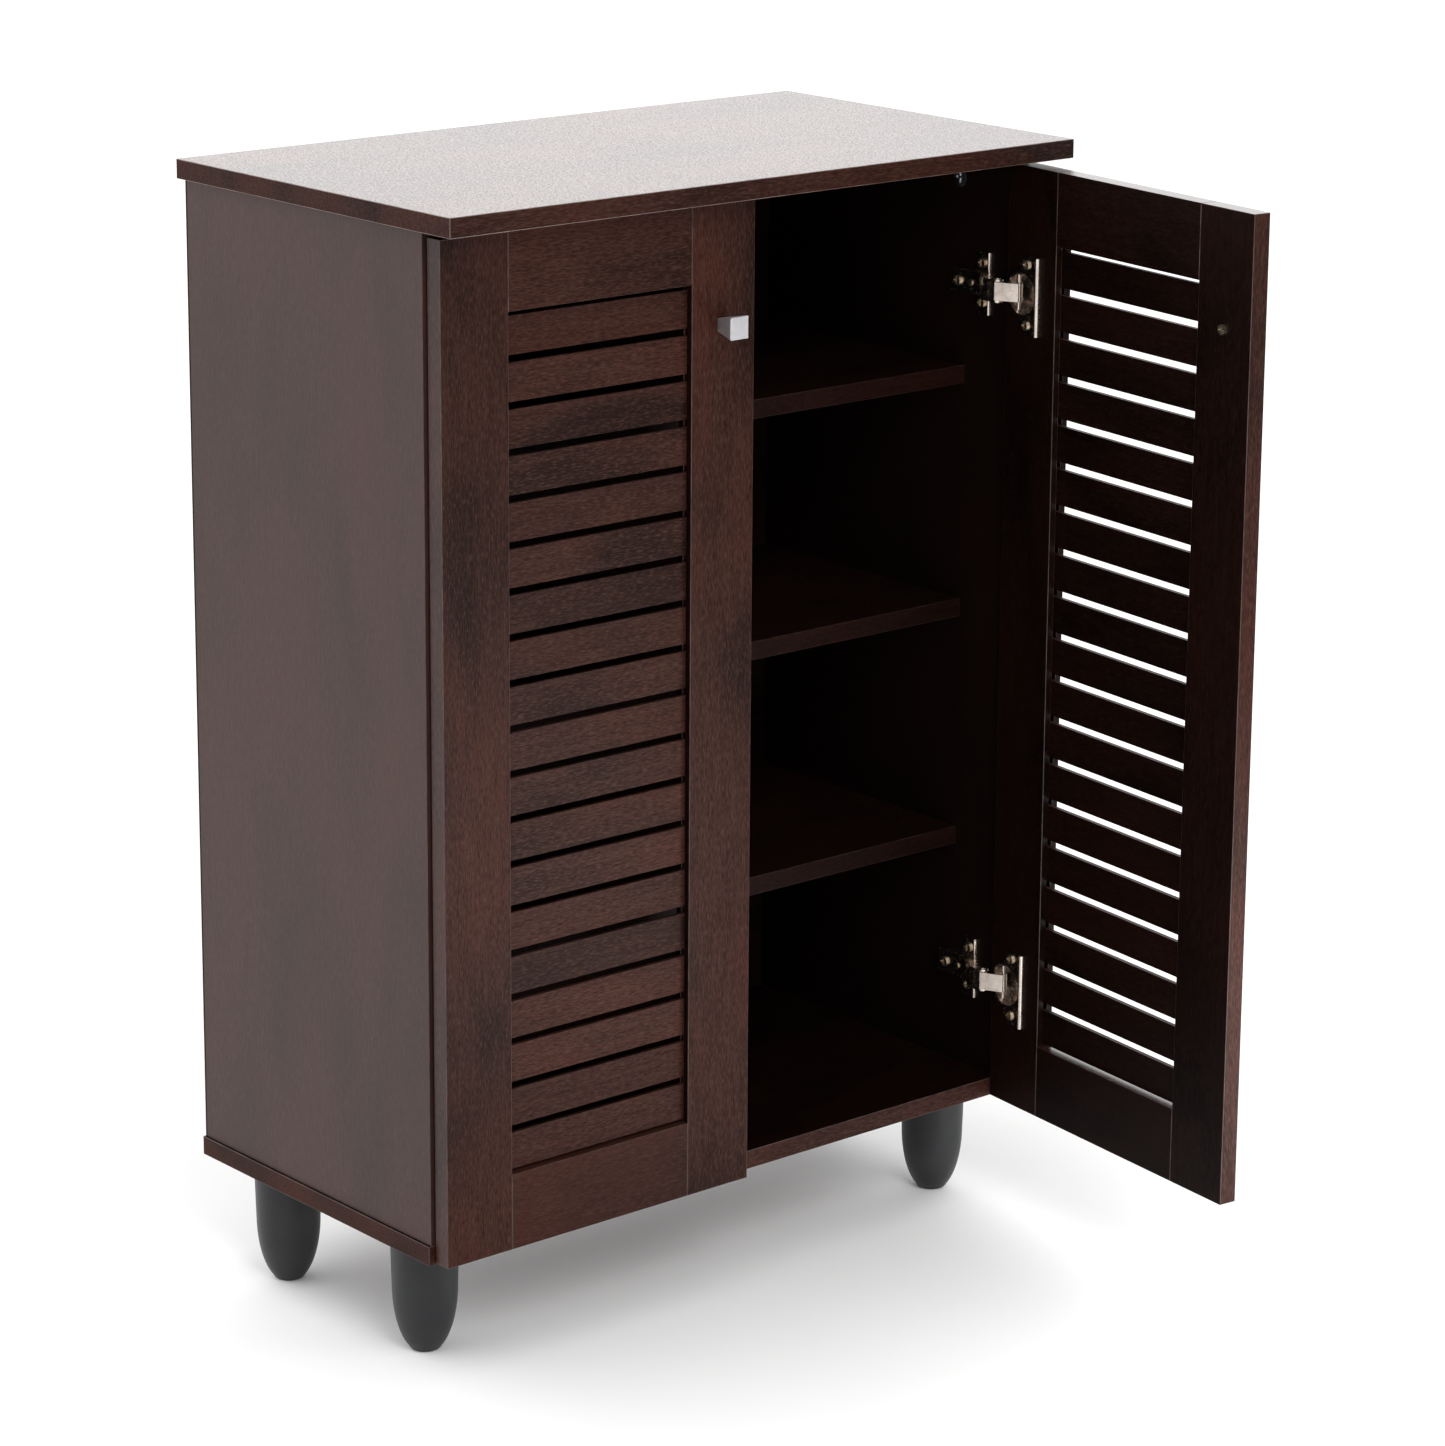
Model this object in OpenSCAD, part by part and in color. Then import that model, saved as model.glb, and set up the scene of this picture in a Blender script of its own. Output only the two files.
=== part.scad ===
// Two-door shoe cabinet with slatted doors, four tiers inside and bullet feet.
// Frame: +X right seen from the front, +Y to the back, +Z up, front faces -Y.
// The origin lies on the floor, below the middle of the sides' front edges.

/* [Carcass] */

// Width of the top
body_w = 606; // [500:1:800]
// Depth of the top
body_d = 340; // [280:1:420]
// Overall height
body_h = 886; // [700:1:1100]
// Board thickness
board_t = 15; // [12:0.5:22]
// How far the sides stand in from the ends of the top
side_inset = 7; // [0:0.5:15]
// How far the bottom board stands in from the ends of the top
base_inset = 5; // [0:0.5:15]
// Front edge of the sides behind the front of the top
side_setback = 42.5; // [30:0.5:60]
// Thickness of the back board
back_t = 3; // [2:0.5:6]
// Front edge of the shelves behind the front of the top
shelf_setback = 95; // [60:1:160]
// Height of the lower shelf's upper face
shelf_low_z = 310; // [250:1:340]
// Distance from one shelf to the next
shelf_pitch = 192.5; // [150:0.5:230]

/* [Feet] */

// Height of a foot
foot_h = 92.5; // [60:0.5:130]
// Radius of a foot at the top
foot_top_r = 26.3; // [18:0.1:35]
// Radius of a foot where it starts to round in
foot_mid_r = 25.2; // [16:0.1:34]
// Height at which a foot starts to round in
foot_mid_z = 52; // [30:1:80]
// Radius of a foot at the bottom corner
foot_low_r = 13; // [6:0.1:20]
// Distance of a foot's axis from the middle of the cabinet
foot_x = 262; // [200:1:280]
// Front feet's axis behind the front edge of the sides
foot_front_y = 54; // [35:0.5:90]
// Rear feet's axis behind the front edge of the sides
foot_rear_y = 233.5; // [180:0.5:260]

/* [Doors] */

// Width of a door
door_w = 291.5; // [240:0.5:380]
// Height of a door
door_h = 771.5; // [600:0.5:900]
// Thickness of a door's frame
door_t = 15; // [12:0.5:22]
// Height of the doors' lower edge over the floor
door_z = 94.5; // [70:0.5:120]
// Gap between the doors' back and the sides
door_gap = 2.5; // [2:0.1:4]
// Gap between the two doors
middle_gap = 4; // [2:0.5:8]
// Width of a stile
stile_w = 60.5; // [40:0.5:80]
// Height of the top rail
top_rail_h = 58; // [40:0.5:80]
// Height of the bottom rail
low_rail_h = 59.5; // [40:0.5:80]
// Number of slats in a door
slat_count = 19; // [8:1:30]
// Height of a slat
slat_h = 28.6; // [15:0.1:50]
// Gap between two slats
slat_gap = 5.8; // [3:0.1:12]
// Gap between the top rail and the first slat
first_gap = 4.2; // [1:0.1:10]
// Thickness of a slat
slat_t = 3.6; // [2:0.1:8]
// Depth of the slats behind the frame's front
slat_recess = 5.6; // [2:0.1:8]
// Angle at which the right door stands open
door_open = 84; // [0:1:95]

/* [Knobs] */

// Knob's projection from the door
knob_len = 19.6; // [10:0.1:40]
// Side of the knob's square front
knob_front = 17.3; // [10:0.1:30]
// Side of the knob's square foot
knob_foot = 10.2; // [6:0.1:20]
// Height of the knob over the floor
knob_z = 775.5; // [400:0.5:840]
// Distance of the knob from the door's free edge
knob_in = 31; // [20:0.5:50]

/* [Hinges] */

// Height of the upper hinges over the floor
hinge_high_z = 764.5; // [600:0.5:840]
// Height of the lower hinges over the floor
hinge_low_z = 194.5; // [120:0.5:300]
// Hinge cup radius
cup_r = 17.5; // [13:0.5:20]
// Hinge cup depth
cup_depth = 11.5; // [9:0.1:13]
// Distance of the cup's middle from the door's edge
cup_in = 20; // [18:0.1:26]
// Plate screws behind the front edge of the sides
plate_row = 33; // [25:0.5:45]
// Radius of the hinge pins
pin_r = 1.5; // [1:0.1:2.5]
// Play between a pin and the link that turns on it
pin_play = 0.05; // [0.02:0.01:0.1]
// Link's pin in the cup, measured in from the door's edge
cup_pin_in = 11; // [8:0.5:20]
// Link's pin in the cup, measured in from the door's back
cup_pin_deep = 3; // [2:0.1:6]
// Distance between a link's two pins
link_len = 17.835; // [12:0.001:25]
// Direction of a link with its door shut
link_shut = 157.69; // [140:0.01:180]
// Angle through which a link turns while its door opens fully
link_swing = 40.92; // [30:0.01:60]
// Door angle that goes with the link swing
swing_door = 84; // [60:1:110]
// Width of a link
link_wide = 14.4; // [8:0.1:20]

/* [Hidden] */

$fn = 64;

top_z = body_h - board_t;
side_x = body_w / 2 - side_inset;
inner_x = side_x - board_t;
base_x = body_w / 2 - base_inset;
front_y = -side_setback;
rear_y = body_d - side_setback;
back_y = rear_y - back_t;
base_z = foot_h + board_t;
shelf_y = shelf_setback - side_setback;
cam_y = [62, 232];
cam_drop = 26;
dowel_y = [27, 147, 267];
rail_len = door_w - 2 * stile_w;
slat_n = door_t - slat_recess - slat_t;
slat_top = door_h - top_rail_h - first_gap;
tongue = 5;
shut_x = middle_gap / 2 + door_w - inner_x;
shut_pos = [-shut_x, door_gap];
arm_pin = shut_pos + [cup_pin_in, cup_pin_deep]
  - link_len * [cos(link_shut), sin(link_shut)];
hinge_zs = [hinge_high_z, hinge_low_z];
shelf_zs = [for (i = [0:2]) shelf_low_z + i * shelf_pitch];
nail_zs = [for (i = [0:5]) base_z + 45 + i * 134];

board_color = [0.17, 0.10, 0.08];
inner_color = [0.13, 0.08, 0.07];
foot_color = [0.16, 0.16, 0.17];
metal_color = [0.75, 0.74, 0.72];
plain_color = [0.72, 0.56, 0.38];

// Cylinder along +X from x0 to x1
module bar_x(r, x0, x1) {
  translate([x0, 0, 0]) rotate([0, 90, 0]) cylinder(r = r, h = x1 - x0);
}

// Cylinder along +Y from y0 to y1
module bar_y(r, y0, y1) {
  translate([0, y0, 0]) rotate([-90, 0, 0]) cylinder(r = r, h = y1 - y0);
}

// Box from one corner to the other
module box(a, b) {
  translate(a) cube(b - a);
}

// ---------------------------------------------------------------- carcass

module foot_places() {
  for (x = [-foot_x, foot_x])
    for (y = [foot_front_y, foot_rear_y])
      translate([x, y, 0]) children();
}

module foot_bolt() {
  translate([0, 0, foot_h - 25]) cylinder(r = 4, h = 37);
}

module cam_bolt(x, y) {
  translate([x, y, top_z - cam_drop + 4]) cylinder(r = 3, h = cam_drop + 7);
}

module panel_dowel(x, y) {
  translate([x, y, top_z - 22]) cylinder(r = 4, h = 32);
}

module base_screw(x, y) {
  translate([x, y, foot_h]) cylinder(r = 2.5, h = 50);
  translate([x, y, foot_h]) cylinder(r1 = 5, r2 = 2.5, h = 3);
}

module cam_lock(x, y, dir) {
  translate([x, y, top_z - cam_drop]) difference() {
    bar_x(7.5, dir > 0 ? 0 : -12, dir > 0 ? 12 : 0);
    box([-dir * 0.1 - 1, -4.5, -0.9], [-dir * 0.1 + 1, 4.5, 0.9]);
    box([-dir * 0.1 - 1, -0.9, -4.5], [-dir * 0.1 + 1, 0.9, 4.5]);
    translate([dir * 7.5, 0, 4]) cylinder(r = 3, h = 4);
  }
}

module top_panel() {
  color(board_color) difference() {
    box([-body_w / 2, front_y, top_z], [body_w / 2, rear_y, body_h]);
    for (s = [-1, 1]) {
      for (y = cam_y) cam_bolt(s * (inner_x + 7.5), y);
      for (y = dowel_y) panel_dowel(s * (inner_x + 7.5), y);
    }
  }
}

module bottom_panel() {
  color(board_color) difference() {
    box([-base_x, -0.5, foot_h], [base_x, rear_y, base_z]);
    foot_places() foot_bolt();
    for (s = [-1, 1])
      for (y = cam_y) base_screw(s * (inner_x + 7.5), y);
  }
}

module right_side_panel() {
  color(board_color) difference() {
    box([inner_x, 0, base_z], [side_x, back_y, top_z]);
    for (y = cam_y) {
      cam_bolt(inner_x + 7.5, y);
      base_screw(inner_x + 7.5, y);
      translate([inner_x - 0.01, y, top_z - cam_drop]) bar_x(7.5, 0, 12.01);
    }
    for (y = dowel_y) panel_dowel(inner_x + 7.5, y);
    for (z = hinge_zs)
      for (dz = [-16, 16])
        translate([inner_x, plate_row, z + dz]) bar_x(2, -1, 10);
    for (z = shelf_zs)
      for (y = cam_y) translate([inner_x, y + 38, z - board_t - 6]) bar_x(1.6, -1, 10);
    for (z = nail_zs) translate([inner_x + 7.5, 0, z]) bar_y(0.8, back_y - 15, back_y + 1);
  }
}

module left_side_panel() {
  mirror([1, 0, 0]) right_side_panel();
}

module back_panel() {
  color(inner_color) difference() {
    box([-side_x + 0.5, back_y, base_z], [side_x - 0.5, back_y + back_t, top_z]);
    for (s = [-1, 1])
      for (z = nail_zs)
        translate([s * (inner_x + 7.5), 0, z]) bar_y(0.8, back_y - 1, back_y + back_t + 1);
  }
}

module shelf(z) {
  color(inner_color) difference() {
    box([-inner_x, shelf_y, z - board_t], [inner_x, back_y, z]);
    for (s = [-1, 1])
      for (y = cam_y)
        translate([s * (inner_x - 6), y + 38, z - board_t - 1]) cylinder(r = 1.6, h = 10);
  }
}

module lower_shelf() {
  shelf(shelf_zs[0]);
}

module middle_shelf() {
  shelf(shelf_zs[1]);
}

module upper_shelf() {
  shelf(shelf_zs[2]);
}

// Outline of half a foot: a slight taper, then an arc down to a rounded toe
foot_arc = [
  for (i = [0:12])
    let (a = i * 7.5 * 0.72)
    [foot_mid_r - (foot_mid_r - foot_low_r) * (1 - cos(a)) / (1 - cos(64.8)),
     foot_mid_z - (foot_mid_z - 3.2) * sin(a) / sin(64.8)]
];
foot_toe = [
  for (a = [45:15:90])
    [foot_low_r - 4.5 + 5.196 * cos(a), 6.4 * (1 - sin(a))]
];

module foot(x, y) {
  color(foot_color) translate([x, y, 0]) difference() {
    rotate_extrude()
      polygon(concat([[0, foot_h], [foot_top_r, foot_h]], foot_arc, foot_toe, [[0, 0]]));
    foot_bolt();
  }
}

module front_left_foot() {
  foot(-foot_x, foot_front_y);
}

module front_right_foot() {
  foot(foot_x, foot_front_y);
}

module rear_left_foot() {
  foot(-foot_x, foot_rear_y);
}

module rear_right_foot() {
  foot(foot_x, foot_rear_y);
}

module foot_bolts() {
  color(metal_color) foot_places() foot_bolt();
}

module cam_locks() {
  color(metal_color)
    for (y = cam_y) {
      cam_lock(inner_x, y, 1);
      cam_lock(-inner_x, y, -1);
    }
}

module cam_bolts() {
  color(metal_color)
    for (s = [-1, 1])
      for (y = cam_y) cam_bolt(s * (inner_x + 7.5), y);
}

module panel_dowels() {
  color(plain_color)
    for (s = [-1, 1])
      for (y = dowel_y) panel_dowel(s * (inner_x + 7.5), y);
}

module base_screws() {
  color(metal_color)
    for (s = [-1, 1])
      for (y = cam_y) base_screw(s * (inner_x + 7.5), y);
}

// Steel angle under a shelf, against the right side
module shelf_angle() {
  difference() {
    union() {
      box([-11, -4.5, -1.5], [0, 4.5, 0]);
      box([-1.5, -4.5, -11], [0, 4.5, 0]);
    }
    translate([-6, 0, -2]) cylinder(r = 1.6, h = 3);
    translate([0, 0, -6]) bar_x(1.6, -2, 1);
  }
}

module shelf_angle_screws() {
  translate([-6, 0, -3]) cylinder(r = 3, h = 1.5);
  translate([-6, 0, -1.5]) cylinder(r = 1.6, h = 10);
  translate([0, 0, -6]) bar_x(3, -3, -1.5);
  translate([0, 0, -6]) bar_x(1.6, -1.5, 9);
}

module shelf_angle_places() {
  for (z = shelf_zs)
    for (y = cam_y) {
      translate([inner_x, y + 38, z - board_t]) children();
      mirror([1, 0, 0]) translate([inner_x, y + 38, z - board_t]) children();
    }
}

module shelf_supports() {
  color(metal_color) shelf_angle_places() shelf_angle();
}

module shelf_screws() {
  color(metal_color) shelf_angle_places() shelf_angle_screws();
}

module back_nails() {
  color(metal_color)
    for (s = [-1, 1])
      for (z = nail_zs)
        translate([s * (inner_x + 7.5), 0, z]) {
          bar_y(0.8, back_y - 14, back_y + back_t);
          bar_y(2, back_y + back_t, back_y + back_t + 0.6);
        }
}

// ------------------------------------------------- hinges, fixed to the carcass

// Local hinge frame: +X into the cabinet from the side's face, +Y to the front
module right_hinge_place(z) {
  translate([inner_x, 0, z]) rotate([0, 0, 180]) children();
}

module left_hinge_place(z) {
  mirror([1, 0, 0]) right_hinge_place(z) children();
}

// Half-round rib along +Z, standing on the plane X = 0
module rib(r, high, z0, z1) {
  translate([0, 0, z0]) linear_extrude(height = z1 - z0) intersection() {
    scale([high / r, 1]) circle(r = r);
    translate([0, -r]) square([high, 2 * r]);
  }
}

module plate() {
  color(metal_color) difference() {
    union() {
      box([0, -plate_row - 7, -25], [1.6, -plate_row + 10, 25]);
      box([0, -plate_row - 25, -9], [3, -plate_row + 12, 9]);
      for (z = [-25, 9.2]) translate([0, -plate_row + 8.2, z]) rib(1.8, 3.4, 0, 15.8);
    }
    for (dz = [-16, 16]) translate([0, -plate_row, dz]) bar_x(2, -1, 4);
    translate([0, -plate_row - 21, 0]) bar_x(2, 1, 5);
  }
}

module plate_screw_pair() {
  for (dz = [-16, 16]) translate([0, -plate_row, dz]) {
    bar_x(2, -9.5, 1.6);
    difference() {
      bar_x(4, 1.6, 3.4);
      box([2.8, -2.6, -0.5], [3.5, 2.6, 0.5]);
      box([2.8, -0.5, -2.6], [3.5, 0.5, 2.6]);
    }
  }
}

module arm_screw_pair() {
  translate([0, -plate_row - 21, 0]) bar_x(2, 1, 8);
  translate([0, -plate_row - 21, 0]) difference() {
    bar_x(4, 8, 10);
    box([9.2, -2.8, -0.5], [10.1, 2.8, 0.5]);
    box([9.2, -0.5, -2.8], [10.1, 0.5, 2.8]);
  }
  translate([0, -plate_row - 6.5, 0]) bar_x(2.6, 3, 9);
}

// Cheek of the arm, seen along the pins
module cheek_shape() {
  polygon([
    [3, -plate_row - 29.5], [8, -plate_row - 29.5], [8, -plate_row + 3.5], [19.5, -13],
    [19.5, arm_pin[1]], [arm_pin[0], arm_pin[1]], [11, -9], [8, -16], [3, -18]
  ]);
  translate(arm_pin) circle(r = 4.5);
}

// Web between the two cheeks of the arm
module web_shape() {
  polygon([
    [6.6, -plate_row - 29.5], [8, -plate_row - 29.5], [8, -plate_row + 3.5], [19.5, -13], [19.5, -8],
    [18.3, -8], [18.3, -12.7], [7.1, -plate_row + 4.9], [6.6, -plate_row + 4.9]
  ]);
}

module arm() {
  color(metal_color) difference() {
    union() {
      for (z = [-9, 7.5]) translate([0, 0, z]) linear_extrude(height = 1.5) cheek_shape();
      translate([0, 0, -7.5]) linear_extrude(height = 15) web_shape();
    }
    translate([arm_pin[0], arm_pin[1], -10]) cylinder(r = pin_r, h = 20);
    translate([0, -plate_row - 21, 0]) bar_x(2, 2, 9);
    translate([0, -plate_row - 6.5, 0]) bar_x(2.6, 2, 9);
  }
}

module arm_pin_part() {
  translate([arm_pin[0], arm_pin[1], -9]) cylinder(r = pin_r, h = 18);
  for (z = [-9.8, 9]) translate([arm_pin[0], arm_pin[1], z]) cylinder(r = 2.4, h = 0.8);
}

module right_upper_plate() {
  right_hinge_place(hinge_high_z) plate();
}

module right_lower_plate() {
  right_hinge_place(hinge_low_z) plate();
}

module left_upper_plate() {
  left_hinge_place(hinge_high_z) plate();
}

module left_lower_plate() {
  left_hinge_place(hinge_low_z) plate();
}

module right_upper_arm() {
  right_hinge_place(hinge_high_z) arm();
}

module right_lower_arm() {
  right_hinge_place(hinge_low_z) arm();
}

module left_upper_arm() {
  left_hinge_place(hinge_high_z) arm();
}

module left_lower_arm() {
  left_hinge_place(hinge_low_z) arm();
}

module arm_pins() {
  color(metal_color)
    for (z = hinge_zs) {
      right_hinge_place(z) arm_pin_part();
      left_hinge_place(z) arm_pin_part();
    }
}

module plate_screws() {
  color(metal_color)
    for (z = hinge_zs) {
      right_hinge_place(z) plate_screw_pair();
      left_hinge_place(z) plate_screw_pair();
    }
}

module arm_screws() {
  color(metal_color)
    for (z = hinge_zs) {
      right_hinge_place(z) arm_screw_pair();
      left_hinge_place(z) arm_screw_pair();
    }
}

// ----------------------------------------------------------------- hinge links

// Line with round ends from one point to another
module stroke(r, a, b) {
  d = b - a;
  translate(a) circle(r = r);
  translate(b) circle(r = r);
  translate(a) rotate(atan2(d[1], d[0])) translate([0, -r]) square([norm(d), 2 * r]);
}

// Link along +X from the arm's pin to the cup's pin: two legs and a plate on the -Y side
module link_shape() {
  out = 0.6;
  deep = 4.6;
  t = 0.9;
  difference() {
    union() {
      circle(r = 3.2);
      translate([link_len, 0]) circle(r = 3.2);
      stroke(t, [0, 0], [-out, -deep]);
      stroke(t, [-out, -deep], [link_len + out, -deep]);
      stroke(t, [link_len + out, -deep], [link_len, 0]);
    }
    circle(r = pin_r + pin_play);
    translate([link_len, 0]) circle(r = pin_r + pin_play);
  }
}

// Link at door angle a
module link(a) {
  color(metal_color)
    translate([arm_pin[0], arm_pin[1], -link_wide / 2])
      rotate([0, 0, link_shut - link_swing * a / swing_door])
        linear_extrude(height = link_wide) link_shape();
}

module right_upper_link() {
  right_hinge_place(hinge_high_z) link(door_open);
}

module right_lower_link() {
  right_hinge_place(hinge_low_z) link(door_open);
}

module left_upper_link() {
  left_hinge_place(hinge_high_z) link(0);
}

module left_lower_link() {
  left_hinge_place(hinge_low_z) link(0);
}

// ----------------------------------------------------------------------- doors

// Door frame: +X from the hinge edge, +Y from the door's back to its front
module door_place(a) {
  t = link_shut - link_swing * a / swing_door;
  translate([inner_x, 0, 0]) rotate([0, 0, 180])
    translate(arm_pin + link_len * [cos(t), sin(t)])
      rotate([0, 0, a])
        translate([-cup_pin_in, -cup_pin_deep, 0])
          children();
}

module right_door_place() {
  door_place(door_open) children();
}

module left_door_place() {
  mirror([1, 0, 0]) door_place(0) children();
}

module dowel_places() {
  for (x = [stile_w, stile_w + rail_len])
    for (z = [door_z + 15, door_z + low_rail_h - 15,
              door_z + door_h - top_rail_h + 15, door_z + door_h - 15])
      translate([x, door_t / 2, z]) children();
}

module cup_bores() {
  for (z = hinge_zs) {
    translate([cup_in, 0, z]) bar_y(cup_r, -1, cup_depth);
    for (dz = [-24, 24]) translate([cup_in + 5.5, 0, z + dz]) bar_y(1.7, -1, 10);
  }
}

module knob_hole() {
  translate([door_w - knob_in, 0, knob_z]) bar_y(2, -1, door_t + 1);
}

module slat_groove(x) {
  box([x, slat_n, door_z + low_rail_h],
      [x + tongue + 0.5, slat_n + slat_t, door_z + door_h - top_rail_h]);
}

module hinge_stile() {
  color(board_color) difference() {
    box([0, 0, door_z], [stile_w, door_t, door_z + door_h]);
    cup_bores();
    slat_groove(stile_w - tongue - 0.5);
    dowel_places() bar_x(4, -15, 15);
  }
}

module free_stile() {
  color(board_color) difference() {
    box([door_w - stile_w, 0, door_z], [door_w, door_t, door_z + door_h]);
    knob_hole();
    slat_groove(door_w - stile_w);
    dowel_places() bar_x(4, -15, 15);
  }
}

module low_rail() {
  color(board_color) difference() {
    box([stile_w, 0, door_z], [stile_w + rail_len, door_t, door_z + low_rail_h]);
    dowel_places() bar_x(4, -15, 15);
  }
}

module top_rail() {
  color(board_color) difference() {
    box([stile_w, 0, door_z + door_h - top_rail_h],
        [stile_w + rail_len, door_t, door_z + door_h]);
    dowel_places() bar_x(4, -15, 15);
  }
}

module slats() {
  color(board_color)
    for (i = [0:slat_count - 1])
      translate([0, 0, door_z + slat_top - slat_h - i * (slat_h + slat_gap)])
        box([stile_w - tongue, slat_n, 0],
            [stile_w + rail_len + tongue, slat_n + slat_t, slat_h]);
}

module door_dowels() {
  color(plain_color) dowel_places() bar_x(4, -15, 15);
}

// Square plate with rounded corners, facing +Y
module knob_plate(s, r, y) {
  for (x = [-1, 1])
    for (z = [-1, 1])
      translate([x * (s / 2 - r), 0, z * (s / 2 - r)]) bar_y(r, y, y + 0.8, $fn = 24);
}

module knob() {
  color(metal_color) translate([door_w - knob_in, door_t, knob_z]) difference() {
    hull() {
      knob_plate(knob_foot, 1.4, 0);
      knob_plate(knob_front, 1.3, knob_len - 0.8);
    }
    bar_y(2, -1, 10);
  }
}

module knob_screw() {
  color(metal_color) translate([door_w - knob_in, 0, knob_z]) {
    bar_y(2, 0, door_t + 9.5);
    difference() {
      bar_y(4, -2.2, 0);
      box([-2.8, -2.3, -0.5], [2.8, -1.3, 0.5]);
      box([-0.5, -2.3, -2.8], [0.5, -1.3, 2.8]);
    }
  }
}

// Flange of the cup, seen from the door's back
module flange_shape() {
  circle(r = cup_r + 1);
  difference() {
    translate([-3, -31]) square([24.6, 62]);
    for (s = [-1, 1]) translate([-3, s * 31 - 6]) square([7, 12]);
  }
  for (s = [-1, 1]) translate([5.5, s * 25]) circle(r = 6);
}

module cup(z) {
  color(metal_color) translate([cup_in, 0, z]) difference() {
    union() {
      bar_y(cup_r, -1.2, cup_depth);
      rotate([90, 0, 0]) linear_extrude(height = 1.2) flange_shape();
      translate([19.2, -1, 0]) rotate([0, 0, -90]) rib(2.4, 2.8, -31, 31);
    }
    bar_y(cup_r - 1.1, -5, cup_depth - 1);
    for (dz = [-24, 24]) translate([5.5, 0, dz]) bar_y(1.7, -2, 1);
    translate([cup_pin_in - cup_in, cup_pin_deep, -20]) cylinder(r = pin_r, h = 40);
  }
}

module upper_cup() {
  cup(hinge_high_z);
}

module lower_cup() {
  cup(hinge_low_z);
}

module cup_pins() {
  color(metal_color)
    for (z = hinge_zs)
      translate([cup_pin_in, cup_pin_deep, z - 14]) cylinder(r = pin_r, h = 28);
}

module cup_screws() {
  color(metal_color)
    for (z = hinge_zs)
      for (dz = [-24, 24]) translate([cup_in + 5.5, 0, z + dz]) {
        bar_y(1.7, -1.2, 9.5);
        difference() {
          bar_y(3.8, -2.8, -1.2);
          box([-2.6, -2.9, -0.5], [2.6, -2.1, 0.5]);
          box([-0.5, -2.9, -2.6], [0.5, -2.1, 2.6]);
        }
      }
}

module right_hinge_stile() {
  right_door_place() hinge_stile();
}

module right_free_stile() {
  right_door_place() free_stile();
}

module right_top_rail() {
  right_door_place() top_rail();
}

module right_low_rail() {
  right_door_place() low_rail();
}

module right_slats() {
  right_door_place() slats();
}

module right_dowels() {
  right_door_place() door_dowels();
}

module right_knob() {
  right_door_place() knob();
}

module right_knob_screw() {
  right_door_place() knob_screw();
}

module right_upper_cup() {
  right_door_place() upper_cup();
}

module right_lower_cup() {
  right_door_place() lower_cup();
}

module right_cup_pins() {
  right_door_place() cup_pins();
}

module right_cup_screws() {
  right_door_place() cup_screws();
}

module left_hinge_stile() {
  left_door_place() hinge_stile();
}

module left_free_stile() {
  left_door_place() free_stile();
}

module left_top_rail() {
  left_door_place() top_rail();
}

module left_low_rail() {
  left_door_place() low_rail();
}

module left_slats() {
  left_door_place() slats();
}

module left_dowels() {
  left_door_place() door_dowels();
}

module left_knob() {
  left_door_place() knob();
}

module left_knob_screw() {
  left_door_place() knob_screw();
}

module left_upper_cup() {
  left_door_place() upper_cup();
}

module left_lower_cup() {
  left_door_place() lower_cup();
}

module left_cup_pins() {
  left_door_place() cup_pins();
}

module left_cup_screws() {
  left_door_place() cup_screws();
}

top_panel();
bottom_panel();
left_side_panel();
right_side_panel();
back_panel();
lower_shelf();
middle_shelf();
upper_shelf();
front_left_foot();
front_right_foot();
rear_left_foot();
rear_right_foot();
foot_bolts();
cam_locks();
cam_bolts();
panel_dowels();
base_screws();
shelf_supports();
shelf_screws();
back_nails();
right_upper_plate();
right_lower_plate();
left_upper_plate();
left_lower_plate();
right_upper_arm();
right_lower_arm();
left_upper_arm();
left_lower_arm();
arm_pins();
plate_screws();
arm_screws();
right_upper_link();
right_lower_link();
left_upper_link();
left_lower_link();
right_hinge_stile();
right_free_stile();
right_top_rail();
right_low_rail();
right_slats();
right_dowels();
right_knob();
right_knob_screw();
right_upper_cup();
right_lower_cup();
right_cup_pins();
right_cup_screws();
left_hinge_stile();
left_free_stile();
left_top_rail();
left_low_rail();
left_slats();
left_dowels();
left_knob();
left_knob_screw();
left_upper_cup();
left_lower_cup();
left_cup_pins();
left_cup_screws();
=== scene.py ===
"""Shoe cabinet with two slatted doors: materials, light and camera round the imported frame.

Units are metres. +X is right seen from the front, +Y is to the back and +Z is up.
"""

import math

import bpy
from mathutils import Matrix, Vector


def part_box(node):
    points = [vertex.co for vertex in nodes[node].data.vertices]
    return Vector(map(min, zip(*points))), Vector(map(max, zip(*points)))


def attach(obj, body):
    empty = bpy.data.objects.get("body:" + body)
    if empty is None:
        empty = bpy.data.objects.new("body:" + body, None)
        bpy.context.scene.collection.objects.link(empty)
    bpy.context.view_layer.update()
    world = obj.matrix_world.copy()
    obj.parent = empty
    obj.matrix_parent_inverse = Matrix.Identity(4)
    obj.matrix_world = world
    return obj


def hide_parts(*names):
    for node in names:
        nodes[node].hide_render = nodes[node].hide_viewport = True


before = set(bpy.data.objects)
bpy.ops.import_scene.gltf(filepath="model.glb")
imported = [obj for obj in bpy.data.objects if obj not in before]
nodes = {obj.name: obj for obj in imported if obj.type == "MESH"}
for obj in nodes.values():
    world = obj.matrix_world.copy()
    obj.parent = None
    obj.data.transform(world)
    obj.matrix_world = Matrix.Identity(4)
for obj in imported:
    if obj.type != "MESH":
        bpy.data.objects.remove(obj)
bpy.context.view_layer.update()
MM = 0.001

# ------------------------------------------------------------------ camera

CAMERA_PLACE = Vector((-2.1949, -2.5640, 1.4147))
CAMERA_YAW = math.radians(40.685)
CAMERA_PITCH = math.radians(14.061)
CAMERA_ROLL = math.radians(0.479)
CAMERA_LENS = 114.13
CAMERA_SHIFT = (-0.01782, -0.09679)


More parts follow.
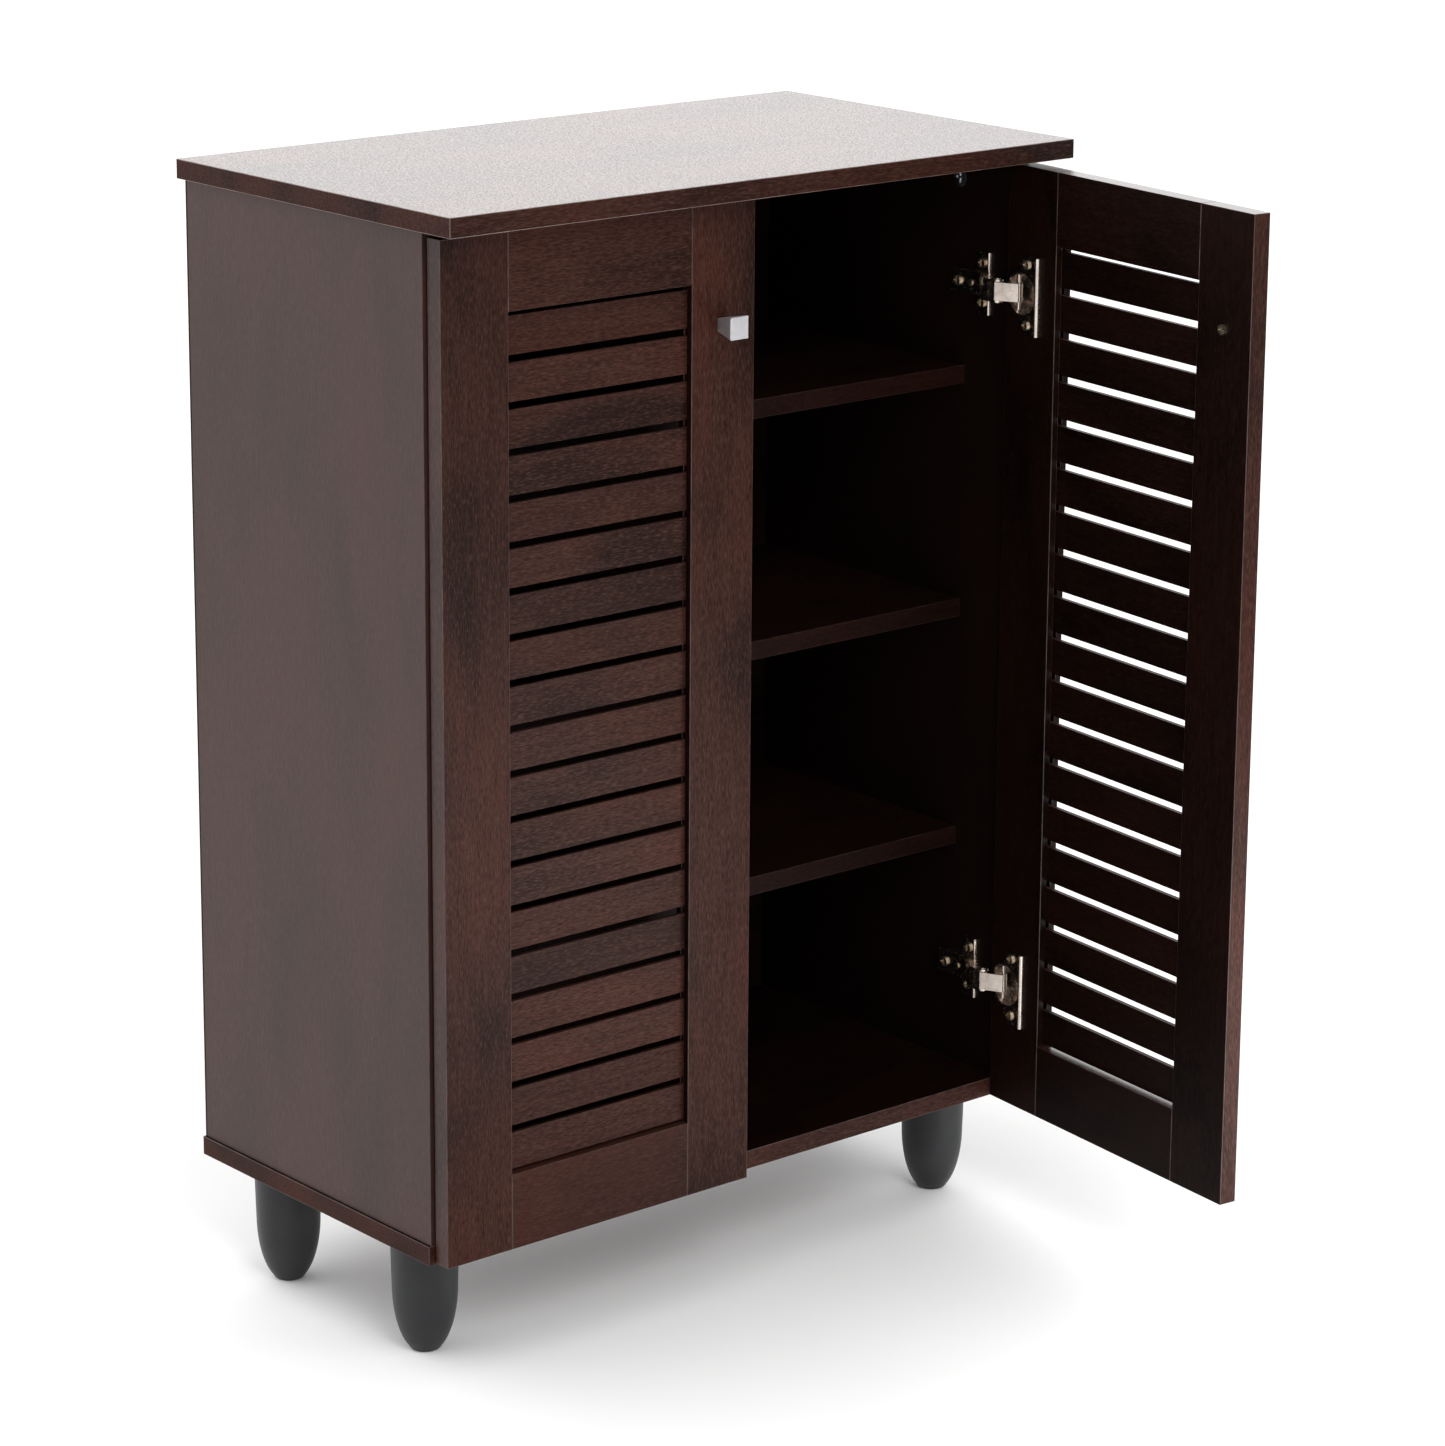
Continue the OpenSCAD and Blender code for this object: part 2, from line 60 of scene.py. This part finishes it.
def add_camera():
    forward = Vector((
        math.sin(CAMERA_YAW) * math.cos(CAMERA_PITCH),
        math.cos(CAMERA_YAW) * math.cos(CAMERA_PITCH),
        -math.sin(CAMERA_PITCH),
    ))
    right = Vector((math.cos(CAMERA_YAW), -math.sin(CAMERA_YAW), 0))
    up = right.cross(forward)
    rolled_right = right * math.cos(CAMERA_ROLL) + up * math.sin(CAMERA_ROLL)
    rolled_up = up * math.cos(CAMERA_ROLL) - right * math.sin(CAMERA_ROLL)
    camera = bpy.data.objects.new("camera", bpy.data.cameras.new("camera"))
    camera.data.lens = CAMERA_LENS
    camera.data.shift_x, camera.data.shift_y = CAMERA_SHIFT
    camera.data.clip_end = 100
    turn = Matrix((rolled_right, rolled_up, -forward)).transposed().to_4x4()
    camera.matrix_world = Matrix.Translation(CAMERA_PLACE) @ turn
    bpy.context.scene.collection.objects.link(camera)
    bpy.context.scene.camera = camera


# ------------------------------------------------------------- shader helpers


class Graph:
    """A material's node tree, with short calls for the nodes used here."""

    def __init__(self, name):
        self.material = bpy.data.materials.new(name)
        self.material.use_nodes = True
        self.tree = self.material.node_tree
        self.shader = self.tree.nodes["Principled BSDF"]

    def node(self, kind, **settings):
        made = self.tree.nodes.new(kind)
        for key, value in settings.items():
            setattr(made, key, value)
        return made

    def put(self, socket, value):
        if isinstance(value, bpy.types.NodeSocket):
            self.tree.links.new(value, socket)
        else:
            socket.default_value = value

    def math(self, operation, a, b=0.0):
        made = self.node("ShaderNodeMath", operation=operation)
        self.put(made.inputs[0], a)
        self.put(made.inputs[1], b)
        return made.outputs[0]

    def mapping(self, vector, scale=(1, 1, 1), place=(0, 0, 0), turn=(0, 0, 0)):
        made = self.node("ShaderNodeMapping")
        self.put(made.inputs["Vector"], vector)
        made.inputs["Scale"].default_value = scale
        made.inputs["Location"].default_value = place
        made.inputs["Rotation"].default_value = turn
        return made.outputs[0]

    def noise(self, vector, scale, detail=3.0, roughness=0.5, distortion=0.0):
        made = self.node("ShaderNodeTexNoise")
        self.put(made.inputs["Vector"], vector)
        made.inputs["Scale"].default_value = scale
        made.inputs["Detail"].default_value = detail
        made.inputs["Roughness"].default_value = roughness
        made.inputs["Distortion"].default_value = distortion
        return made.outputs["Fac"]

    def ramp(self, value, *stops):
        made = self.node("ShaderNodeValToRGB")
        self.put(made.inputs["Fac"], value)
        elements = made.color_ramp.elements
        for place, colour in stops[1:-1]:
            elements.new(place).color = (*colour, 1)
        elements[0].position, elements[0].color = stops[0][0], (*stops[0][1], 1)
        elements[-1].position, elements[-1].color = stops[-1][0], (*stops[-1][1], 1)
        return made.outputs["Color"]

    def spread(self, value, low, high, to_low, to_high):
        made = self.node("ShaderNodeMapRange")
        self.put(made.inputs["Value"], value)
        for key, number in zip(("From Min", "From Max", "To Min", "To Max"), (low, high, to_low, to_high)):
            made.inputs[key].default_value = number
        return made.outputs["Result"]

    def mix(self, factor, a, b):
        made = self.node("ShaderNodeMix", data_type="RGBA")
        self.put(made.inputs["Factor"], factor)
        for socket, colour in ((made.inputs[6], a), (made.inputs[7], b)):
            self.put(socket, colour if isinstance(colour, bpy.types.NodeSocket) else (*colour, 1))
        return made.outputs[2]

    def facing(self, normal, side):
        made = self.node("ShaderNodeVectorMath", operation="DOT_PRODUCT")
        self.put(made.inputs[0], normal)
        made.inputs[1].default_value = side
        return made.outputs["Value"]

    def bump(self, height, strength, depth):
        made = self.node("ShaderNodeBump")
        self.put(made.inputs["Height"], height)
        made.inputs["Strength"].default_value = strength
        made.inputs["Distance"].default_value = depth
        self.put(self.shader.inputs["Normal"], made.outputs["Normal"])

    def set(self, **values):
        for key, value in values.items():
            self.put(self.shader.inputs[key.replace("_", " ")], value)


# ------------------------------------------------------------------ laminate

DARK = (0.0110, 0.0038, 0.0027)
BROWN = (0.0270, 0.0092, 0.0064)
RED = (0.0410, 0.0120, 0.0076)
PALE = (0.0780, 0.0360, 0.0270)
# How far painted shade darkens the faces that look into the cabinet.
INNER_PAINTED_SHADE = 0.22


def seed_of(name):
    """A place in the pattern that differs from piece to piece and never changes."""
    total = 0
    for letter in name:
        total = (total * 31 + ord(letter)) % 9973
    return Vector((total * 0.137 % 7.1, total * 0.071 % 5.3, total * 0.193 % 6.7))


def laminate(name, along="Z", turn=0.0, painted_light_level=1.0, painted_sheen_grey=0.0, rough=0.46, specular=0.06, rows=None,
             shaded_sides=(), glossy_side=None, gloss=1.0, contrast=1.5, stretch=1.0, haze=0.04, speckle=0.0):
    """Espresso laminate with its grain along one axis, of a board turned by an angle about Z.

    rows gives the slats' lowest edge and their pitch. shaded_sides are the directions of the faces
    that look into the cabinet, whose colour is darkened as painted shade. A board's raised brightness
    and greyed colour paint sheen on it, a lowered brightness paints shade on it.
    glossy_side is the direction of the faces with a coat. contrast scales the grain, stretch its
    length, haze its change of gloss and speckle how far the coat breaks up.
    """
    g = Graph(name)
    coordinates = g.node("ShaderNodeTexCoord")
    seed = seed_of(name)
    board = g.mapping(coordinates.outputs["Object"], place=seed, turn=(0, 0, -turn))
    split = g.node("ShaderNodeSeparateXYZ")
    g.put(split.inputs[0], board)
    x, y, z = split.outputs
    level = painted_light_level
    if rows:
        low, pitch = rows
        row = g.math("FLOOR", g.math("DIVIDE", g.math("SUBTRACT", z, low + seed.z), pitch))
        luck = g.node("ShaderNodeTexWhiteNoise", noise_dimensions="1D")
        g.put(luck.inputs["W"], row)
        x = g.math("ADD", x, g.math("MULTIPLY", luck.outputs["Value"], 9.0))
        level = g.spread(luck.outputs["Value"], 0.0, 1.0, painted_light_level * 0.88, painted_light_level * 1.12)
    # Painted shade: the faces that look into the cabinet are darkened.
    for side in shaded_sides:
        facing = g.facing(coordinates.outputs["Normal"], side)
        level = g.math("MULTIPLY", g.spread(facing, 0.55, 0.75, 1.0, INNER_PAINTED_SHADE), level)
    joined = g.node("ShaderNodeCombineXYZ")
    for socket, value in zip(joined.inputs, (x, y, z) if along == "X" else (z, y, x)):
        g.put(socket, value)
    grain = joined.outputs[0]
    cloud = g.noise(g.mapping(grain, scale=(5, 12, 12)), 1.0, 3, 0.5, 0.4)
    streak = g.noise(g.mapping(grain, scale=(24 / stretch, 380, 380)), 1.0, 4, 0.6, 0.15)
    dash = g.noise(g.mapping(grain, scale=(170 / stretch, 1050, 1050)), 1.0, 2, 0.6)
    clouded = g.ramp(cloud, (0.34, DARK), (0.46, BROWN), (0.66, RED))
    base = g.mix(min(contrast, 1.0), BROWN, clouded)
    lit = g.mix(g.spread(streak, 0.50, 0.75, 0.0, 0.16 * contrast), base, PALE)
    shaded = g.mix(g.spread(streak, 0.28, 0.46, 0.40 * contrast, 0.0), lit, DARK)
    dashed = g.mix(g.spread(dash, 0.50, 0.70, 0.0, 0.34 * contrast), shaded, PALE)
    pored = g.mix(g.spread(dash, 0.30, 0.46, 0.55 * contrast, 0.0), dashed, DARK)
    # The colour's brightness here carries the painted shade of the inner faces and a whole board's painted
    # lightening and darkening.
    toned_and_shaded = g.node("ShaderNodeHueSaturation")
    toned_and_shaded.inputs["Saturation"].default_value = 1.0 - painted_sheen_grey
    g.put(toned_and_shaded.inputs["Value"], level)
    g.put(toned_and_shaded.inputs["Color"], pored)
    g.set(
        Base_Color=toned_and_shaded.outputs[0],
        Roughness=g.spread(dash, 0.3, 0.7, rough + haze, rough - haze),
        Specular_IOR_Level=specular,
    )
    if glossy_side:
        facing = g.facing(coordinates.outputs["Normal"], glossy_side)
        coat = g.spread(facing, 0.6, 0.9, 0.0, gloss)
        g.set(Coat_Weight=g.math("MULTIPLY", coat, g.spread(dash, 0.42, 0.58, 1.0 - speckle, 1.0)))
        g.set(Coat_Roughness=0.32)
    g.bump(g.math("ADD", g.math("MULTIPLY", dash, 0.6), streak), 0.30, 0.0002)
    return g.material


def edge_line(name, colour, specular):
    """The thin pale line on a board's rounded edge: partly the edge band's own colour, partly a painted
    highlight.
    """
    g = Graph(name)
    where = g.node("ShaderNodeTexCoord").outputs["Object"]
    wear = g.noise(where, 60.0, 3, 0.6)
    dull = tuple(c * 0.45 for c in colour)
    g.set(
        Base_Color=g.ramp(wear, (0.38, dull), (0.62, colour)),
        Roughness=g.spread(wear, 0.3, 0.7, 0.36, 0.46),
        Specular_IOR_Level=specular,
    )
    return g.material


# -------------------------------------------------------------- other finishes


def foot_lacquer():
    g = Graph("foot_lacquer")
    where = g.node("ShaderNodeTexCoord").outputs["Object"]
    cloud = g.noise(where, 24.0, 4, 0.55)
    peel = g.noise(where, 900.0, 2, 0.5)
    g.set(
        Base_Color=g.ramp(cloud, (0.35, (0.012, 0.0125, 0.014)), (0.65, (0.020, 0.0205, 0.022))),
        Roughness=g.spread(cloud, 0.3, 0.7, 0.42, 0.52),
        Specular_IOR_Level=0.35,
    )
    g.bump(peel, 0.10, 0.0001)
    return g.material


def plain_wood():
    g = Graph("dowel_beech")
    where = g.node("ShaderNodeTexCoord").outputs["Object"]
    line = g.noise(g.mapping(where, scale=(60, 400, 400)), 1.0, 4, 0.6)
    g.set(Base_Color=g.ramp(line, (0.35, (0.36, 0.22, 0.11)), (0.65, (0.52, 0.36, 0.20))), Roughness=0.6)
    return g.material


def plated(name, dark, light, rough, metallic=1.0):
    """Plated steel: slightly uneven in colour and in gloss."""
    g = Graph(name)
    where = g.node("ShaderNodeTexCoord").outputs["Object"]
    cloud = g.noise(where, 90.0, 3, 0.5)
    haze = g.noise(where, 260.0, 3, 0.5)
    g.set(
        Base_Color=g.ramp(cloud, (0.35, dark), (0.68, light)),
        Metallic=metallic,
        Roughness=g.spread(haze, 0.3, 0.7, rough - 0.04, rough + 0.05),
    )
    return g.material


# ------------------------------------------------------- finishes on the nodes

# Painted highlight: these edge lines are paler than the laminate, partly the edge band's own colour and
# partly painted highlight; the line inside the cabinet is darkened as painted shade.
EDGE = edge_line("board_edge_and_highlight", (0.082, 0.054, 0.045), 0.3)
INNER_EDGE_IN_PAINTED_SHADE = edge_line("inner_edge_painted_shade", (0.030, 0.016, 0.012), 0.2)
TOP_EDGE_AND_HIGHLIGHT = edge_line("top_edge_and_highlight", (0.20, 0.13, 0.11), 0.5)
FIXED = {
    "foot_lacquer": foot_lacquer(),
    "dowel_wood": plain_wood(),
    "knob_metal": plated("knob_satin", (0.54, 0.53, 0.55), (0.62, 0.61, 0.63), 0.50, 0.85),
    "zinc": plated("cam_zinc", (0.42, 0.43, 0.45), (0.62, 0.63, 0.66), 0.36),
    "screw_steel": plated("screw_warm", (0.50, 0.42, 0.31), (0.74, 0.64, 0.50), 0.30),
    "hinge_steel": plated("hinge_nickel", (0.50, 0.43, 0.38), (0.64, 0.56, 0.50), 0.24),
}
RIGHT_DOOR_TURN = math.radians(84)
SLAT_HEIGHT = 28.6 * MM
SLAT_PITCH = 34.4 * MM


def slot_of(name):
    """The record's material slot of a CAD node."""
    return nodes[name].data.materials[0].name.split(".")[0]


def board_material(name, slot):
    """Laminate for one board, with the grain that its place calls for and painted shade on its faces that
    look into the cabinet.
    """
    on_right_door = name.startswith("right_") and slot.startswith(("door", "slat"))
    turn = RIGHT_DOOR_TURN if on_right_door else 0.0
    title = name + "_laminate"
    # Painted shade: the bottom panel's upper face, inside the cabinet, is darkened.
    if name == "bottom_panel":
        return laminate(title, along="X", shaded_sides=[(0, 0, 1)])
    # Painted sheen and shade: the left side panel is painted lighter, the right one darker, and each is
    # darkened inside.
    if name == "left_side_panel":
        return laminate(title, painted_light_level=1.15, rough=0.50, specular=0.36, contrast=0.4, shaded_sides=[(1, 0, 0)])
    if name == "right_side_panel":
        return laminate(title, contrast=0.5, painted_light_level=0.9, rough=0.50, specular=0.12, shaded_sides=[(-1, 0, 0)])
    # Painted shade: the shelves and the back are painted much darker, as the cabinet's inside is in shade.
    if slot == "inner_board":
        return laminate(title, along="X", painted_light_level=0.30)
    # Painted shade: a door board's back and a stile's edge beside the slats are darkened.
    back = (-math.sin(turn), math.cos(turn), 0)
    inward = (math.cos(turn), math.sin(turn), 0)
    if name in ("left_free_stile", "right_hinge_stile"):
        inward = (-inward[0], -inward[1], 0)
    if name == "left_hinge_stile":
        return laminate(title, shaded_sides=[back, inward], glossy_side=(-1, 0, 0), gloss=0.45)
    if slot == "door_stile_board":
        return laminate(title, turn=turn, shaded_sides=[back, inward], glossy_side=(0, 0, 1))
    if slot == "door_rail_board":
        contrast = 0.9 if name.endswith("low_rail") else 1.5
        return laminate(title, along="X", turn=turn, shaded_sides=[back], glossy_side=(0, 0, 1),
                        contrast=contrast)
    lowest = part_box(name)[0].z
    rows = (lowest - (SLAT_PITCH - SLAT_HEIGHT) / 2, SLAT_PITCH)
    return laminate(title, along="X", turn=turn, rows=rows, shaded_sides=[back])


# -------------------------------------------------------------- softened edges

SHARP_EDGE = math.radians(40)
LONG_EDGE = 6 * MM
WELD_GAP = 0.01 * MM
BOARD_ROUND = 0.45 * MM
TOP_ROUND = 0.5 * MM
KNOB_ROUND = 0.5 * MM


def node_steps(title):
    """An empty node group for a modifier, with the sockets where the mesh comes in and goes out."""
    group = bpy.data.node_groups.new(title, "GeometryNodeTree")
    for way in ("INPUT", "OUTPUT"):
        group.interface.new_socket("Geometry", in_out=way, socket_type="NodeSocketGeometry")
    return group, group.nodes.new("NodeGroupInput").outputs[0], group.nodes.new("NodeGroupOutput").inputs[0]


def flat_shading():
    """Shades every face flat."""
    group, start, end = node_steps("flat_shading")
    shade = group.nodes.new("GeometryNodeSetShadeSmooth")
    shade.inputs["Shade Smooth"].default_value = False
    group.links.new(start, shade.inputs["Geometry"])
    group.links.new(shade.outputs["Geometry"], end)
    return group


def above(group, value, limit):
    """A yes or no from one number being above another."""
    test = group.nodes.new("FunctionNodeCompare")
    test.data_type = "FLOAT"
    test.operation = "GREATER_THAN"
    group.links.new(value, test.inputs[0])
    test.inputs[1].default_value = limit
    return test.outputs["Result"]


def long_edges():
    """Gives a bevel weight to long sharp edges only: a bevel round a small hole folds the faces beside it."""
    group, start, end = node_steps("long_edges")
    angle = group.nodes.new("GeometryNodeInputMeshEdgeAngle").outputs["Unsigned Angle"]
    ends = group.nodes.new("GeometryNodeInputMeshEdgeVertices")
    length = group.nodes.new("ShaderNodeVectorMath")
    length.operation = "DISTANCE"
    group.links.new(ends.outputs["Position 1"], length.inputs[0])
    group.links.new(ends.outputs["Position 2"], length.inputs[1])
    both = group.nodes.new("FunctionNodeBooleanMath")
    group.links.new(above(group, angle, SHARP_EDGE), both.inputs[0])
    group.links.new(above(group, length.outputs["Value"], LONG_EDGE), both.inputs[1])
    store = group.nodes.new("GeometryNodeStoreNamedAttribute")
    store.data_type = "FLOAT"
    store.domain = "EDGE"
    store.inputs["Name"].default_value = "bevel_weight_edge"
    store.inputs["Value"].default_value = 1.0
    group.links.new(start, store.inputs["Geometry"])
    group.links.new(both.outputs[0], store.inputs["Selection"])
    group.links.new(store.outputs["Geometry"], end)
    return group


FLAT_SHADING = flat_shading()
LONG_EDGES = long_edges()


def soften(piece, width, rim=None):
    """Small rounded long edges. A board, which has a rim line that is partly a painted highlight, gets flat
    faces too.
    """
    weld = piece.modifiers.new("weld", "WELD")
    weld.merge_threshold = WELD_GAP
    piece.modifiers.new("long_edges", "NODES").node_group = LONG_EDGES
    bevel = piece.modifiers.new("bevel", "BEVEL")
    bevel.width = width
    bevel.segments = 2
    bevel.limit_method = "WEIGHT"
    bevel.use_clamp_overlap = False
    if rim:
        piece.data.materials.append(rim)
        bevel.material = len(piece.data.materials) - 1
        piece.modifiers.new("flat", "NODES").node_group = FLAT_SHADING


# ---------------------------------------------------------- the top and the nodes


def box_mesh(name, low, high):
    mesh = bpy.data.meshes.new(name)
    corners = [(x, y, z) for z in (low.z, high.z) for y in (low.y, high.y) for x in (low.x, high.x)]
    faces = [(0, 2, 3, 1), (4, 5, 7, 6), (0, 1, 5, 4), (1, 3, 7, 5), (3, 2, 6, 7), (2, 0, 4, 6)]
    mesh.from_pydata(corners, [], faces)
    piece = bpy.data.objects.new(name, mesh)
    bpy.context.scene.collection.objects.link(piece)
    return piece


def add_top():
    """The top board: a glossy laminated face, painted lighter and greyer as a painted sheen, over edges with
    their own bands and an underside darkened as painted shade.
    """
    low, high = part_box("top_panel")
    top = box_mesh("top_board", low, high)
    # Painted sheen: the top face is painted lighter and greyer. Painted shade: the band's underside is
    # darkened.
    for material in (
        laminate("top_face_laminate", along="X", painted_light_level=2.1, painted_sheen_grey=0.1, rough=0.36, specular=0.56,
                 glossy_side=(0, 0, 1), gloss=0.6, contrast=0.7, stretch=0.35, haze=0.10, speckle=0.95),
        laminate("top_band_laminate", along="X", shaded_sides=[(0, 0, -1)]),
        TOP_EDGE_AND_HIGHLIGHT,
    ):
        top.data.materials.append(material)
    for face in top.data.polygons:
        face.material_index = 0 if face.normal.z > 0.5 else 1
    soften(top, TOP_ROUND)
    top.modifiers["bevel"].material = len(top.data.materials) - 1
    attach(top, "cabinet")
    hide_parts("top_panel")


def dress_nodes():
    for name, piece in nodes.items():
        slot = slot_of(name)
        if slot in FIXED:
            piece.data.materials[0] = FIXED[slot]
            if slot == "knob_metal":
                soften(piece, KNOB_ROUND)
            continue
        if slot != "top_board":
            piece.data.materials[0] = board_material(name, slot)
            soften(piece, BOARD_ROUND, INNER_EDGE_IN_PAINTED_SHADE if slot == "inner_board" else EDGE)


# --------------------------------------------------------------- floor and light

FLOOR_HALF = 25.0
FRONT_ROOM = 0.35
BACKDROP = 2.1
CEILING = 1.35


def add_floor():
    mesh = bpy.data.meshes.new("floor")
    corners = [(-1, -1), (1, -1), (1, 1), (-1, 1)]
    mesh.from_pydata([(x * FLOOR_HALF, y * FLOOR_HALF, 0) for x, y in corners], [], [(0, 1, 2, 3)])
    floor = bpy.data.objects.new("floor", mesh)
    bpy.context.scene.collection.objects.link(floor)
    g = Graph("floor_paint")
    where = g.node("ShaderNodeTexCoord").outputs["Object"]
    g.set(
        Base_Color=g.ramp(g.noise(where, 3.0), (0.3, (0.90, 0.90, 0.90)), (0.7, (0.93, 0.93, 0.93))),
        Roughness=0.9,
        Specular_IOR_Level=0.1,
    )
    mesh.materials.append(g.material)


def add_world():
    """A white studio: a bright backdrop behind, a soft ceiling and a dimmer room in front."""
    world = bpy.data.worlds.new("studio")
    world.use_nodes = True
    tree = world.node_tree
    split = tree.nodes.new("ShaderNodeSeparateXYZ")
    tree.links.new(tree.nodes.new("ShaderNodeTexCoord").outputs["Generated"], split.inputs[0])
    blend = tree.nodes.new("ShaderNodeMix")
    blend.data_type = "RGBA"
    behind = tree.nodes.new("ShaderNodeMapRange")
    behind.interpolation_type = "SMOOTHSTEP"
    for key, value in (("From Min", -0.35), ("From Max", 0.45)):
        behind.inputs[key].default_value = value
    tree.links.new(split.outputs["Y"], behind.inputs["Value"])
    tree.links.new(behind.outputs["Result"], blend.inputs["Factor"])
    for socket, low, high in ((blend.inputs[6], FRONT_ROOM, CEILING), (blend.inputs[7], BACKDROP, CEILING)):
        height = tree.nodes.new("ShaderNodeMapRange")
        height.interpolation_type = "SMOOTHSTEP"
        for key, value in zip(("From Min", "From Max", "To Min", "To Max"), (0.45, 0.85, low, high)):
            height.inputs[key].default_value = value
        tree.links.new(split.outputs["Z"], height.inputs["Value"])
        tree.links.new(height.outputs["Result"], socket)
    tree.links.new(blend.outputs[2], tree.nodes["Background"].inputs["Color"])
    bpy.context.scene.world = world


def add_area(name, place, aim, size, power):
    light = bpy.data.lights.new(name, "AREA")
    light.shape = "DISK"
    light.size = size
    light.energy = power
    lamp = bpy.data.objects.new(name, light)
    lamp.location = place
    lamp.rotation_mode = "QUATERNION"
    lamp.rotation_quaternion = (Vector(aim) - Vector(place)).to_track_quat("-Z", "Y")
    lamp.visible_camera = False
    bpy.context.scene.collection.objects.link(lamp)


def add_lights():
    add_area("key", (-1.2, -3.4, 3.2), (0, 0, 0.4), 1.8, 60)
    add_area("low_card", (0.30, -0.60, 0.02), (-0.05, -0.05, 0.20), 0.65, 5.5)
    add_area("camera_card", (-1.7, -3.3, 1.7), (0.2, -0.1, 0.5), 1.6, 11)


bpy.context.scene.view_settings.view_transform = "Standard"
add_camera()
add_top()
dress_nodes()
add_floor()
add_world()
add_lights()

bpy.context.view_layer.update()
